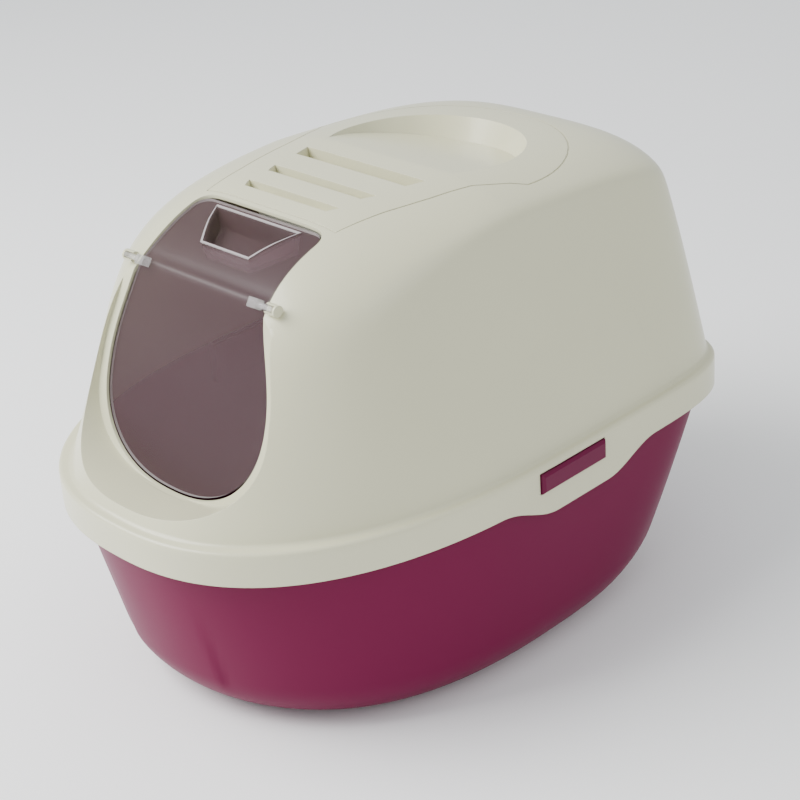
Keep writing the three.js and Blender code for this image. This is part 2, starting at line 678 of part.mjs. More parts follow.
// A press bar in the skirt, with a flange behind it that stops it and a leg that ends in a hook.
function latch(side) {
  const inside = WIDTH / 2 - HOOD_WALL - 0.5; // inner face of the skirt, less a gap
  const face = WIDTH / 2 + LATCH_PROUD;
  const at = (x, inset) => {
    const halfY = LATCH_LENGTH / 2 - inset;
    const halfZ = LATCH_HEIGHT / 2 - inset;
    const corners = [[-halfY, -halfZ], [halfY, -halfZ], [halfY, halfZ], [-halfY, halfZ]];
    return corners.map(([y, z]) => new THREE.Vector3(x, LATCH_Y + y, LATCH_Z + z));
  };
  const bar = loft([at(inside - 3, 0), at(face - LATCH_BEVEL, 0), at(face, LATCH_BEVEL)]);
  const flangeX = inside - FLANGE_WALL;
  const flangeLength = LATCH_LENGTH + 2 * FLANGE_LIP;
  const flange = box(FLANGE_WALL, flangeLength, LATCH_HEIGHT + 3, flangeX, LATCH_Y, LATCH_Z - 1);
  const hookFoot = NICHE_LOW_Z + 4;
  const legTop = LATCH_Z - LATCH_HEIGHT / 2 + 2.5;
  const leg = box(FLANGE_WALL, HOOK_WIDTH, legTop - hookFoot, flangeX, LATCH_Y, (legTop + hookFoot) / 2);
  const nose = box(HOOK_NOSE, HOOK_WIDTH, 3, flangeX - 1.6, LATCH_Y, hookFoot + 1.5);
  const right = bar.add(flange).add(leg).add(nose);
  return side > 0 ? right : right.mirror([1, 0, 0]);
}

// ---------- filter ----------
function filterCassette() {
  const z = FILTER_Z + FILTER_HEIGHT / 2;
  const innerWidth = FILTER_WIDTH - 2 * FILTER_WALL;
  const innerLength = FILTER_LENGTH - 2 * FILTER_WALL;
  const pitch = innerLength / FILTER_SLATS;
  let cup = box(FILTER_WIDTH, FILTER_LENGTH, FILTER_HEIGHT, 0, FILTER_Y, z);
  cup = cup.subtract(box(innerWidth, innerLength, FILTER_HEIGHT, 0, FILTER_Y, z + FILTER_WALL));
  for (let i = 0; i < FILTER_SLATS; i += 1) {
    const y = FILTER_Y - innerLength / 2 + pitch * (i + 0.5);
    cup = cup.subtract(box(FILTER_WIDTH - 2 * SLAT_MARGIN, pitch / 2, FILTER_HEIGHT, 0, y, FILTER_Z));
  }
  return cup;
}

function filterPad() {
  const inset = FILTER_WALL + PIECE_GAP;
  const thickness = FILTER_HEIGHT - FILTER_WALL - 2;
  const z = FILTER_Z + FILTER_WALL + PIECE_GAP + thickness / 2;
  return box(FILTER_WIDTH - 2 * inset, FILTER_LENGTH - 2 * inset, thickness, 0, FILTER_Y, z);
}

// ---------- materials and assembly ----------
const plastic = (color, roughness, extra = {}) =>
  new THREE.MeshStandardMaterial({ color, roughness, metalness: 0, ...extra });
const TRAY_PLASTIC = plastic(0x86234f, 0.42);
const HOOD_PLASTIC = plastic(0xd9d8c8, 0.35);
const DOOR_PLASTIC = plastic(0x8d7d80, 0.2, { transparent: true, opacity: 0.5 });
const PIN_PLASTIC = plastic(0xdcd8d4, 0.3, { transparent: true, opacity: 0.7 });
const LATCH_PLASTIC = plastic(0x962460, 0.35);
const FILTER_PLASTIC = plastic(0xcfcdbf, 0.5);
const CHARCOAL = plastic(0x26262a, 0.95);

const group = new THREE.Group();
function place(name, body, material) {
  const mesh = new THREE.Mesh(geometryOf(body), material);
  mesh.name = name;
  group.add(mesh);
}

place("base_tray", tray(), TRAY_PLASTIC);
place("hood", hood(), HOOD_PLASTIC);
place("door_flap", door(), DOOR_PLASTIC);
place("hinge_pin_right", hingePin(1), PIN_PLASTIC);
place("hinge_pin_left", hingePin(-1), PIN_PLASTIC);
place("latch_right", latch(1), LATCH_PLASTIC);
place("latch_left", latch(-1), LATCH_PLASTIC);
place("filter_cassette", filterCassette(), FILTER_PLASTIC);
place("filter_pad", filterPad(), CHARCOAL);

export default group;
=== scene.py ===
"""Cat litter box with hood: the moulded shells, the smoky door and a plain studio.

Each operator makes one piece in place. Lengths are in metres; the hood and the tray are worked
out in millimetres, as their moulds are drawn, and scaled once.
"""
import json
import math

import bmesh
import bpy
from mathutils import Matrix, Vector


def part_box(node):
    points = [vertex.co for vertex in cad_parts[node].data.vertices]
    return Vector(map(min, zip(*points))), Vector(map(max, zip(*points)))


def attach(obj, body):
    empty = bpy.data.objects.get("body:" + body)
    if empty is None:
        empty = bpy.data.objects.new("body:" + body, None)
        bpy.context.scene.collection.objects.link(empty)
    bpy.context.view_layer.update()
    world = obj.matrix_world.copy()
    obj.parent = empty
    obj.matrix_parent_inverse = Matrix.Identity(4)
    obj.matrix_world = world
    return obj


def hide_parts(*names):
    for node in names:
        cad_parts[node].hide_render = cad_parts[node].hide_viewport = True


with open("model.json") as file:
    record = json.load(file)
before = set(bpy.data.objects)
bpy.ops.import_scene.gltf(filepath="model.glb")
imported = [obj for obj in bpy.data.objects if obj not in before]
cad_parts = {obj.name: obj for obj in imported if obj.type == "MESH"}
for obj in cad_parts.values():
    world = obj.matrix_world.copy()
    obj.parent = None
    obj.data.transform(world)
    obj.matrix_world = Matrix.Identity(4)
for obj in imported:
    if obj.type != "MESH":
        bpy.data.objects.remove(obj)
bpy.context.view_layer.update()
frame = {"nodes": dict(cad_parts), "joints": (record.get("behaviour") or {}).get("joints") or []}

bl_info = {
    "name": "Hooded Litter Box",
    "version": (1, 0, 0),
    "blender": (4, 5, 0),
    "location": "View3D > Sidebar > Litter Box",
    "description": "Moulds the hood, tray and door of a cat litter box and lights them",
    "category": "Add Mesh",
}

MM = 0.001
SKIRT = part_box("hood")
LENGTH = (SKIRT[1][1] - SKIRT[0][1]) / MM
WIDTH = (SKIRT[1][0] - SKIRT[0][0]) / MM
HOOD_TOP = SKIRT[1][2] / MM
SKIRT_BOTTOM = SKIRT[0][2] / MM
LEDGE_Z = 190.0
LEDGE_WIDTH = 8.0
SKIRT_LOW_Z = 161.5
SIDE_LEAN = 0.281
CREASE_BLEND = 6.0
NOSE_FLAT = 34.0
NOSE_FLAT_FROM = 150.0
HOOD_FOOT = LENGTH / 2 - LEDGE_WIDTH
ROOF_FALL = 0.072
ROOF_FALL_FROM = 40.0
DOOR_SILL_Z = 192.0
FACE_TOP_Z = HOOD_TOP - 49.4
DOOR_BELLY_Z = DOOR_SILL_Z + 0.49 * (FACE_TOP_Z - DOOR_SILL_Z)
DOOR_BELLY = 95.0
DOOR_WAIST = 73.0
DOOR_WAIST_Z = HOOD_TOP - 18.4
DOOR_REAR_Y = -88.05
DOOR_CORNER = 14.0
DOOR_GAP = 1.8
DOOR_SUNK = 2.0
DOOR_WALL = 2.2
POCKET_REAR = DOOR_REAR_Y - 4.6
POCKET_FRONT = DOOR_REAR_Y - 50.1
POCKET_HALF_REAR = 54.0
POCKET_HALF_FRONT = 35.0
POCKET_FLOOR_Z = HOOD_TOP - 28.4
POCKET_FALL = 9.0
POCKET_DRAFT = 9.0
POCKET_WALL = 2.4
POCKET_BEAD = 1.3
BEAD_PROUD = 0.9
# height of each knot of the front profile, and how far behind the hood's nose it lies there
FRONT_KNOTS = [(DOOR_SILL_Z, 47.8), (DOOR_BELLY_Z, 31.5), (FACE_TOP_Z, 6.4), (HOOD_TOP - 33.9, 2.5),
               (HOOD_TOP - 19.9, 3.4), (HOOD_TOP - 12.2, 4.8), (HOOD_TOP - 6.8, 7.1), (HOOD_TOP - 2.4, 11.7)]
FLARE_START = 9.0
FLARE = 0.25
FLARE_REAR_Y = -190.0
SILL_RISE = 0.15
RECESS_Y = 92.0
RECESS_RADIUS = 85.0
RECESS_FRONT_Y = 53.0
RECESS_DEPTH = 27.0
RECESS_DRAFT = 12.0
HINGE = next(joint for joint in frame["joints"] if joint["name"] == "door_swing")["pos_m"]
PIN_Y = HINGE[1] / MM
PIN_Z = HINGE[2] / MM
PIN_NORMAL = Vector((-0.8435, 0.5371))
PIN_BORE = 2.8
PIN_TIP = 87.0
SADDLE_RADIUS = 4.6
SADDLE_SUNK = 2.9
LATCH_Y = 34.0
LATCH_LENGTH = 76.0
LATCH_HEIGHT = 17.0
LATCH_Z = 175.5
LATCH_GAP = 0.8
TRAY_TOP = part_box("base_tray")[1][2] / MM
TRAY_CORNER = 47.0
TRAY_WALL = 2.8
TRAY_FLOOR = 3.0
RIM_BEAD = 1.5
RIM_BEAD_HEIGHT = 7.0
RIM_INSET = 3.6
# rear edge, width, half length and depth of each groove in the roof
GROOVES = [(20.0, 18.5, 69.0, 15.0), (-24.5, 13.0, 60.0, 10.0), (-57.5, 11.0, 54.0, 8.0)]
GROOVE_TAPER = 5.0
PANEL_LINE_WIDTH = 1.1
PANEL_LINE_DEPTH = 0.6
VENT_WIDTH = 3.0


class HoodProps(bpy.types.PropertyGroup):
    """Sizes and colour of the hood."""

    wall: bpy.props.FloatProperty(
        name="Wall", description="Thickness of the hood's plastic", default=0.0026, unit="LENGTH"
    )
    colour: bpy.props.FloatVectorProperty(
        name="Colour", description="Cream of the hood", subtype="COLOR", size=3, default=(0.62, 0.605, 0.42)
    )


class TrayProps(bpy.types.PropertyGroup):
    """Colour of the tray and the latches."""

    colour: bpy.props.FloatVectorProperty(
        name="Colour", description="Magenta of the tray", subtype="COLOR", size=3, default=(0.135, 0.0032, 0.040)
    )
    latch_colour: bpy.props.FloatVectorProperty(
        name="Latch colour", description="Magenta of the clips", subtype="COLOR", size=3,
        default=(0.12, 0.004, 0.038),
    )


class DoorProps(bpy.types.PropertyGroup):
    """Tint of the swing door."""

    tint: bpy.props.FloatVectorProperty(
        name="Tint", description="Smoky tint of the door", subtype="COLOR", size=3, default=(0.142, 0.082, 0.092)
    )
    haze: bpy.props.FloatProperty(
        name="Haze", description="How much of what is behind the door it hides", default=0.27,
        min=0.0, max=1.0, subtype="FACTOR",
    )
    # Painted highlight: this pale colour stands for the light that catches on the door's cut edges and on the bead
    # round its pocket.
    edge: bpy.props.FloatVectorProperty(
        name="Edge", description="Paler look of the door's cut edge", subtype="COLOR", size=3,
        default=(0.50, 0.46, 0.46),
    )


class StageProps(bpy.types.PropertyGroup):
    """Camera and light."""

    azimuth: bpy.props.FloatProperty(
        name="Azimuth", description="Camera's angle from the front", default=math.radians(48.08), unit="ROTATION"
    )
    elevation: bpy.props.FloatProperty(
        name="Elevation", description="Camera's angle above the floor", default=math.radians(26.68),
        unit="ROTATION",
    )
    roll: bpy.props.FloatProperty(
        name="Roll", description="Camera's turn about its own axis", default=math.radians(-4.68), unit="ROTATION"
    )
    distance: bpy.props.FloatProperty(
        name="Distance", description="From the camera to the box", default=1.6, unit="LENGTH"
    )
    key_power: bpy.props.FloatProperty(name="Key light", description="Power of the key light in watts", default=92.0)


# ---------- shader tools ----------
class Value:
    """A shader socket that takes part in Python arithmetic."""

    def __init__(self, board, socket):
        self.board = board
        self.socket = socket

    def _maths(self, operation, a, b):
        return self.board.node("ShaderNodeMath", {"operation": operation}, {0: a, 1: b}).out(0)

    def __add__(self, other):
        return self._maths("ADD", self, other)

    def __radd__(self, other):
        return self._maths("ADD", other, self)

    def __sub__(self, other):
        return self._maths("SUBTRACT", self, other)

    def __rsub__(self, other):
        return self._maths("SUBTRACT", other, self)

    def __mul__(self, other):
        return self._maths("MULTIPLY", self, other)

    def __rmul__(self, other):
        return self._maths("MULTIPLY", other, self)

    def __gt__(self, other):
        return self._maths("GREATER_THAN", self, other)


class Made:
    """A node just added, whose outputs are read by name or number."""

    def __init__(self, board, node):
        self.board = board
        self.node = node

    def out(self, key=0):
        return Value(self.board, self.node.outputs[key])


class Board:
    """A material and its nodes."""

    def __init__(self, name):
        self.material = bpy.data.materials.new(name)
        self.material.use_nodes = True
        self.tree = self.material.node_tree
        self.shader = next(n for n in self.tree.nodes if n.type == "BSDF_PRINCIPLED")
        self.place = self.node("ShaderNodeTexCoord").out("Object")

    def node(self, kind, settings=None, values=None):
        node = self.tree.nodes.new(kind)
        for key, value in (settings or {}).items():
            setattr(node, key, value)
        for key, value in (values or {}).items():
            self.feed(node.inputs[key], value)
        return Made(self, node)

    def feed(self, socket, value):
        if isinstance(value, Value):
            self.tree.links.new(value.socket, socket)
        else:
            socket.default_value = value

    def set(self, **values):
        for key, value in values.items():
            self.feed(self.shader.inputs[key.replace("_", " ")], value)

    def noise(self, scale, detail=2.0):
        return self.node(
            "ShaderNodeTexNoise", {}, {"Vector": self.place, "Scale": scale, "Detail": detail}
        ).out("Fac")

    def blend(self, factor, first, second):
        made = self.node("ShaderNodeMix", {"data_type": "RGBA"}, {0: factor, 6: (*first, 1), 7: (*second, 1)})
        return made.out(2)

    def soft_edges(self, radius):
        return self.node("ShaderNodeBevel", {"samples": 4}, {"Radius": radius}).out(0)

    def bump(self, height, strength, distance, normal=None):
        values = {"Height": height, "Strength": strength, "Distance": distance}
        if normal is not None:
            values["Normal"] = normal
        return self.node("ShaderNodeBump", {}, values).out(0)


def moulded(name, colour, gloss, grain, edge=0.0009, coat=0.0, shine=0.5):
    """Injection-moulded plastic: faint flow marks, a fine grain and softened edges."""
    board = Board(name)
    flow = board.noise(9.0, 3.0)
    darker = tuple(c * 0.955 for c in colour)
    lighter = tuple(min(1.0, c * 1.03) for c in colour)
    fine = board.noise(900.0, 2.0)
    ripple = board.noise(14.0, 1.0)
    relief = fine * 0.08 + ripple * 2.0
    board.set(
        Base_Color=board.blend(flow, darker, lighter),
        Roughness=flow * 0.08 + fine * 0.06 + (gloss - 0.07),
        Normal=board.bump(relief, grain, 0.0003, board.soft_edges(edge)),
    )
    board.set(IOR=1.5, Coat_Weight=coat, Coat_Roughness=0.12, Specular_IOR_Level=shine)
    return board.material


def see_through(name, colour, hide, gloss):
    """Tinted clear plastic with a slight haze and faint flow marks."""
    board = Board(name)
    flow = board.noise(11.0, 2.0)
    darker = tuple(c * 0.92 for c in colour)
    board.set(
        Base_Color=board.blend(flow, darker, colour),
        Roughness=flow * 0.05 + gloss,
        Alpha=flow * 0.04 + (hide - 0.02),
        Normal=board.bump(flow, 0.15, 0.0004),
    )
    board.set(IOR=1.5)
    return board.material


def fibre_mat(name):
    """Charcoal-filled fibre: matt black with a fuzzy, matted surface."""
    board = Board(name)
    clumps = board.noise(260.0, 6.0)
    board.set(
        Base_Color=board.blend(clumps, (0.010, 0.010, 0.011), (0.05, 0.05, 0.053)),
        Roughness=clumps * 0.1 + 0.85,
        Normal=board.bump(clumps, 0.9, 0.001),
    )
    return board.material


# ---------- mesh tools ----------
def solid_of(name, bm):
    """A finished object from a bmesh, its faces turned outwards."""
    bmesh.ops.remove_doubles(bm, verts=bm.verts, dist=1e-7)
    bmesh.ops.recalc_face_normals(bm, faces=bm.faces)
    mesh = bpy.data.meshes.new(name)
    bm.to_mesh(mesh)
    bm.free()
    made = bpy.data.objects.new(name, mesh)
    bpy.context.scene.collection.objects.link(made)
    return made


def wrapped(name, surface, around, up):
    """A sheet rolled into a tube by surface(turn, rise), closed at both ends."""
    bm = bmesh.new()
    bmesh.ops.create_grid(bm, x_segments=around, y_segments=up, size=1.0)
    for vertex in bm.verts:
        vertex.co = Vector(surface((vertex.co.x + 1) / 2, (vertex.co.y + 1) / 2)) * MM
    bmesh.ops.remove_doubles(bm, verts=bm.verts, dist=1e-6)
    rims = [edge for edge in bm.edges if edge.is_boundary]
    bmesh.ops.holes_fill(bm, edges=rims, sides=0)
    return solid_of(name, bm)


def stacked(name, rings):
    """A closed solid through rings of points, in millimetres."""
    bm = bmesh.new()
    loops = [[bm.verts.new(Vector(p) * MM) for p in ring] for ring in rings]
    bm.faces.new(loops[0])
    bm.faces.new(loops[-1])
    for low, high in zip(loops, loops[1:]):
        for i in range(len(low)):
            j = (i + 1) % len(low)
            bm.faces.new((low[i], low[j], high[j], high[i]))
    return solid_of(name, bm)


def pushed_x(name, outline, start, end):
    return stacked(name, [[(x, y, z) for y, z in outline] for x in (start, end)])


def pushed_y(name, outline, start, end):
    return stacked(name, [[(x, y, z) for x, z in outline] for y in (start, end)])


def pushed_z(name, outline, start, end):
    return stacked(name, [[(x, y, z) for x, y in outline] for z in (start, end)])


def block(name, size, centre):
    bm = bmesh.new()
    placed = Matrix.Translation(Vector(centre) * MM) @ Matrix.Diagonal((*(Vector(size) * MM), 1))
    bmesh.ops.create_cube(bm, size=1.0, matrix=placed)
    return solid_of(name, bm)


def rod_x(name, radius, start, end, y, z):
    bm = bmesh.new()
    middle = Vector(((start + end) / 2, y, z)) * MM
    placed = Matrix.Translation(middle) @ Matrix.Rotation(math.pi / 2, 4, "Y")
    bmesh.ops.create_cone(
        bm, cap_ends=True, segments=40, radius1=radius * MM, radius2=radius * MM,
        depth=(end - start) * MM, matrix=placed,
    )
    return solid_of(name, bm)


def combine(target, tool, operation):
    """Join, cut or keep the common part, and drop the tool."""
    modifier = target.modifiers.new("combine", "BOOLEAN")
    modifier.operation = operation
    modifier.solver = "MANIFOLD"
    modifier.object = tool
    shape = bpy.context.evaluated_depsgraph_get()
    made = bpy.data.meshes.new_from_object(target.evaluated_get(shape))
    target.modifiers.remove(modifier)
    if not made.polygons:
        raise RuntimeError(f"{operation} left nothing of {target.name}")
    target.data = made
    bpy.data.objects.remove(tool)
    return target


def smooth(piece, degrees=32.0):
    piece.data.shade_smooth()
    piece.data.set_sharp_from_angle(angle=math.radians(degrees))


def finish_piece(piece, node, body, material):
    """Give a piece its finish, and let it stand for a node and ride on a body."""
    piece.data.materials.clear()
    piece.data.materials.append(material)
    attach(piece, body)
    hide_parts(node)


# ---------- outlines ----------
def clamp(value, low, high):
    return min(high, max(low, value))


def mix(a, b, share):
    return a + (b - a) * share


def soft_min(a, b, blend):
    """The smaller of two distances, rounded where they cross."""
    near = clamp(1 - abs(a - b) / blend, 0, 1)
    return min(a, b) - near * near * blend / 4


def reach_at(half_width, front, back, widest, front_curve, back_curve, y):
    """x of a plan outline at depth y."""
    ahead = y < widest
    span = widest - front if ahead else back - widest
    side, end = front_curve if ahead else back_curve
    share = clamp(abs(y - widest) / span, 0, 1)
    return half_width * (1 - share**end) ** (1 / side)


def skirt_plan(inset=0.0):
    return (WIDTH / 2 - inset, inset - LENGTH / 2, LENGTH / 2 - inset, 28.7, (2.43, 2.44), (5.6, 7.1), 0, None)


def skirt_reach(y):
    half_width, front, back, widest, front_curve, back_curve, _, _ = skirt_plan()
    return reach_at(half_width, front, back, widest, front_curve, back_curve, y)


def plan_point(plan, turn):
    """A point of a plan outline at a turn of 0 to 1 from the front middle, anticlockwise."""
    half_width, front, back, widest, front_curve, back_curve, flat, panel = plan
    side_sign = 1 if turn <= 0.5 else -1
    angle = math.pi * (2 * turn if turn <= 0.5 else 2 - 2 * turn)
    ahead = angle < math.pi / 2
    side, end = front_curve if ahead else back_curve
    flat = flat if ahead else 0
    span = (front if ahead else back) - widest
    y = widest + span * abs(math.cos(angle)) ** (2 / end)
    x = flat + (half_width - flat) * abs(math.sin(angle)) ** (2 / side)
    x *= clamp(abs(math.sin(angle)) / 0.01, 0, 1)
    if panel:
        x = max(soft_min(x, panel(y), CREASE_BLEND), 0)
    return side_sign * x, y


def shoulder(z, start, power):
    rise = clamp((z - start) / (HOOD_TOP - start), 0, 1)
    return 1 - (1 - rise**power) ** (1 / power)


def hood_plan(z, inset=0.0):
    """The hood's plan at a height: a straight lean, then a rounded shoulder on every side."""
    up = z - LEDGE_Z
    share = up / (HOOD_TOP - LEDGE_Z)
    ease = clamp(up / NOSE_FLAT_FROM, 0, 1)
    return (
        WIDTH / 2 + 11.6 - 0.265 * up - 105.5 * shoulder(z, 332, 2.31) - inset,
        -(HOOD_FOOT - 0.58 * up - 124.9 * shoulder(z, 299.2, 2.83)) + inset,
        HOOD_FOOT - 80.3 * shoulder(z, 346.2, 2.34) - inset,
        70.8,
        (mix(2.47, 2.75, share), mix(1.93, 2.03, share)),
        (mix(5.16, 3.36, share), mix(5.77, 3.34, share)),
        NOSE_FLAT * ease * ease * (3 - 2 * ease),
        lambda y: skirt_reach(y) - LEDGE_WIDTH - SIDE_LEAN * up - inset,
    )


def roof_sag(y, z):
    share = clamp((z - LEDGE_Z) / (HOOD_TOP - LEDGE_Z), 0, 1)
    return ROOF_FALL * share**3 * max(y - ROOF_FALL_FROM, 0)


def hood_surface(wall):
    """The hood's skin as a function of turn and rise, its wall inside the outer one."""
    stops = []
    if wall:
        stops += [("skirt", wall, SKIRT_BOTTOM - 10), ("skirt", wall, LEDGE_Z - wall - 0.4)]
        stops.append(("body", 0.0, LEDGE_Z + 0.3))
    else:
        stops += [("skirt", 0.0, SKIRT_BOTTOM), ("skirt", 0.0, 160.0), ("skirt", 0.0, LEDGE_Z - 7)]
        bead = 3.4
        for i in range(1, 9):
            angle = math.pi / 2 * i / 8
            stops.append(("skirt", bead * (1 - math.cos(angle)), LEDGE_Z - bead + bead * math.sin(angle)))
        # a soft fillet between the ledge and the hood's foot
        fillet = 2.6
        for i in range(0, 6):
            angle = math.pi / 2 * i / 6
            stops.append(("foot", -fillet * (1 - math.sin(angle)), LEDGE_Z + 0.02 + fillet * (1 - math.cos(angle))))
        stops.append(("body", 0.0, LEDGE_Z + 3))
    stops += [("body", 0.0, z) for z in (200, 212, 224, 236, 248, 260, 272, 284)]
    stops += [("body", 0.0, mix(292, HOOD_TOP, math.sin(math.pi / 2 * i / 26))) for i in range(0, 27)]
    stops += [("crown", 1 - i / 12, HOOD_TOP) for i in range(1, 13)]

    def at(turn, rise):
        kind, amount, z = stops[round(rise * (len(stops) - 1))]
        if kind == "skirt":
            x, y = plan_point(skirt_plan(amount), turn)
            return x, y, z
        if kind == "foot":
            x, y = plan_point(hood_plan(z, wall * 0.85 + amount), turn)
            return x, y, z
        x, y = plan_point(hood_plan(z, wall * 0.85), turn)
        if kind == "crown":
            x *= amount
            y = ROOF_FALL_FROM + (y - ROOF_FALL_FROM) * amount
        return x, y, z - wall - roof_sag(y, z)

    return at, len(stops) - 1


def front_profile(back=0.0):
    """Side view of the front that the door lies in, (y, z), moved back by a distance."""
    places = [Vector((hood_plan(z)[1] + behind, z)) for z, behind in FRONT_KNOTS]
    points = []
    steps = 52
    for i in range(steps + 1):
        t = i / steps * (len(places) - 1)
        k = min(int(t), len(places) - 2)
        f = t - k
        p0 = places[max(k - 1, 0)]
        p1 = places[k]
        p2 = places[k + 1]
        p3 = places[min(k + 2, len(places) - 1)]
        v0 = (p2 - p0) * 0.5
        v1 = (p3 - p1) * 0.5
        place = (2 * p1 - 2 * p2 + v0 + v1) * f**3 + (-3 * p1 + 3 * p2 - 2 * v0 - v1) * f**2 + v0 * f + p1
        along = (6 * p1 - 6 * p2 + 3 * v0 + 3 * v1) * f**2 + (-6 * p1 + 6 * p2 - 4 * v0 - 2 * v1) * f + v0
        along.normalize()
        points.append((place.x + along.y * back, place.y - along.x * back))
    return points


def behind_front(back, half, low):
    face = [p for p in front_profile(back) if p[1] > low]
    outline = [(face[0][0], low), *face, (face[-1][0], face[-1][1] - 60), (face[0][0] + 60, low)]
    return pushed_x("behind_front", outline, -half, half)


def before_front(back, half):
    """Everything in front of the front profile."""
    face = front_profile(back)
    outline = [(-LENGTH, SKIRT_LOW_Z), (face[0][0], SKIRT_LOW_Z), *face,
               (face[-1][0], HOOD_TOP + 60), (-LENGTH, HOOD_TOP + 60)]
    return pushed_x("before_front", outline, -half, half)


def opening_outline(grow, low=None):
    """Front view of the door opening: a rounded bowl, then sides that draw in to the waist."""
    half = []
    bowl = DOOR_BELLY_Z - (DOOR_SILL_Z - grow if low is None else low)
    for i in range(41):
        angle = math.pi / 2 * i / 40
        half.append((
            (DOOR_BELLY + grow) * math.sin(angle) ** (2 / 2.3),
            DOOR_BELLY_Z - bowl * math.cos(angle) ** (2 / 2.3),
        ))
    for i in range(1, 21):
        ease = (1 - math.cos(math.pi * i / 20)) / 2
        half.append((mix(DOOR_BELLY, DOOR_WAIST, ease) + grow, mix(DOOR_BELLY_Z, DOOR_WAIST_Z, i / 20)))
    return half + [(-x, z) for x, z in reversed(half[1:])]


def opening_cutter(grow, reach=4.0):
    front = pushed_y("opening_front", opening_outline(grow), -LENGTH, -90)
    half = DOOR_WAIST + grow
    rear = DOOR_REAR_Y + grow
    corner = DOOR_CORNER + grow
    roof = [(-half, -LENGTH / 2), (half, -LENGTH / 2)]
    for side, first in ((1, 0), (-1, 1)):
        for i in range(9):
            angle = math.pi / 2 * (first + i / 8)
            roof.append((side * (half - corner) + corner * math.cos(angle), rear - corner + corner * math.sin(angle)))
    combine(front, pushed_z("opening_roof", roof, DOOR_WAIST_Z - 4, HOOD_TOP + 60), "UNION")
    return combine(front, behind_front(-reach, LENGTH, SKIRT_LOW_Z), "INTERSECT")


def flare_cutter(wall):
    """The shallow dish round the opening: it widens towards the front, and its sill rises."""

    def section(y):
        ahead = max(FLARE_REAR_Y - y, 0)
        sill = DOOR_SILL_Z + SILL_RISE * (front_profile()[0][0] - y) - wall
        return [(x, y, z) for x, z in opening_outline(FLARE_START + FLARE * ahead + wall, sill)]

    rings = [section(y) for y in (FLARE_REAR_Y - 100, FLARE_REAR_Y, FLARE_REAR_Y + 45)]
    return combine(stacked("flare", rings), before_front(wall, LENGTH), "INTERSECT")


def recess_cutter(wall):
    """The round recess with a straight front edge, its floor sloping down to the back."""
    draft = RECESS_DRAFT / RECESS_DEPTH
    rings = []
    for down in (RECESS_DEPTH + 8 + wall, -12):
        radius = RECESS_RADIUS - draft * down + wall
        turns = [math.tau * i / 128 for i in range(128)]
        rings.append([(radius * math.cos(a), RECESS_Y + radius * math.sin(a), HOOD_TOP - down) for a in turns])
    bowl = stacked("recess", rings)
    back = RECESS_Y + RECESS_RADIUS
    slope = RECESS_DEPTH / (back - RECESS_DRAFT - RECESS_FRONT_Y)
    front = RECESS_FRONT_Y - 14

    def floor_at(y):
        return HOOD_TOP - 2.4 - slope * (y - RECESS_FRONT_Y) - wall

    above = [(front, floor_at(front)), (back + 40, floor_at(back + 40)), (back + 40, HOOD_TOP + 40),
             (front, HOOD_TOP + 40)]
    return combine(bowl, pushed_x("recess_floor", above, -WIDTH / 2, WIDTH / 2), "INTERSECT")


def finger_pocket(inset):
    """The finger pocket's form in the door, shrunk by an inset."""

    def level(rear_z, front_z, draft):
        off = inset + draft
        rear_y = POCKET_REAR - inset - draft / 2
        return [(off - POCKET_HALF_FRONT, POCKET_FRONT + off, front_z),
                (POCKET_HALF_FRONT - off, POCKET_FRONT + off, front_z),
                (POCKET_HALF_REAR - off, rear_y, rear_z), (off - POCKET_HALF_REAR, rear_y, rear_z)]

    floor = POCKET_FLOOR_Z + inset
    above = HOOD_TOP + 12
    return stacked("finger_pocket", [level(floor, floor - POCKET_FALL, POCKET_DRAFT), level(above, above, 0)])


def door_shell():
    """The swing door: a bent sheet with the pocket's tub on its back."""
    shell = behind_front(DOOR_SUNK, DOOR_BELLY, SKIRT_LOW_Z)
    tub = combine(finger_pocket(0.0), behind_front(DOOR_SUNK, DOOR_BELLY, SKIRT_LOW_Z), "INTERSECT")
    combine(shell, behind_front(DOOR_SUNK + DOOR_WALL, LENGTH, SKIRT_LOW_Z - 50), "DIFFERENCE")
    return combine(shell, tub, "UNION")


def on_bead(point):
    """Whether a point of the door lies on the bead round its pocket."""
    if not POCKET_FRONT - 1 < point.y < POCKET_REAR + 1:
        return False
    profile = front_profile(DOOR_SUNK - 0.2)
    for (y0, z0), (y1, z1) in zip(profile, profile[1:]):
        if y0 <= point.y <= y1:
            return point.z > mix(z0, z1, (point.y - y0) / (y1 - y0))
    return False


def door_bead():
    """A raised bead round the mouth of the finger pocket."""
    bead = combine(finger_pocket(0.0), finger_pocket(POCKET_BEAD), "DIFFERENCE")
    combine(bead, behind_front(DOOR_SUNK - BEAD_PROUD, DOOR_BELLY, SKIRT_LOW_Z), "INTERSECT")
    return combine(bead, behind_front(DOOR_SUNK + DOOR_WALL / 2, LENGTH, SKIRT_LOW_Z - 50), "DIFFERENCE")


def panel_line_cutter():
    """A hairline round the roof panel, which runs from the door's top corners round the recess."""
    side = [(DOOR_WAIST + 2, DOOR_REAR_Y + 4), (83, -40), (87.5, -21), (92, 1), (95, 21), (99, 40), (105, 53),
            (112, 70)]
    radius = 120.0
    middle = 86.0
    arc = []
    for i in range(1, 48):
        angle = math.radians(-6 + 192 * i / 48)
        arc.append((radius * math.cos(angle), middle + radius * math.sin(angle)))
    outline = side + arc + [(-x, y) for x, y in reversed(side)]
    ring = pushed_z("panel_outer", outline, DOOR_WAIST_Z - 12, HOOD_TOP + 10)
    inner = pushed_z("panel_inner", narrowed(outline, PANEL_LINE_WIDTH), DOOR_WAIST_Z - 14, HOOD_TOP + 12)
    combine(ring, inner, "DIFFERENCE")
    core_skin, rings = hood_surface(PANEL_LINE_DEPTH)
    return combine(ring, wrapped("panel_core", core_skin, 240, rings), "DIFFERENCE")


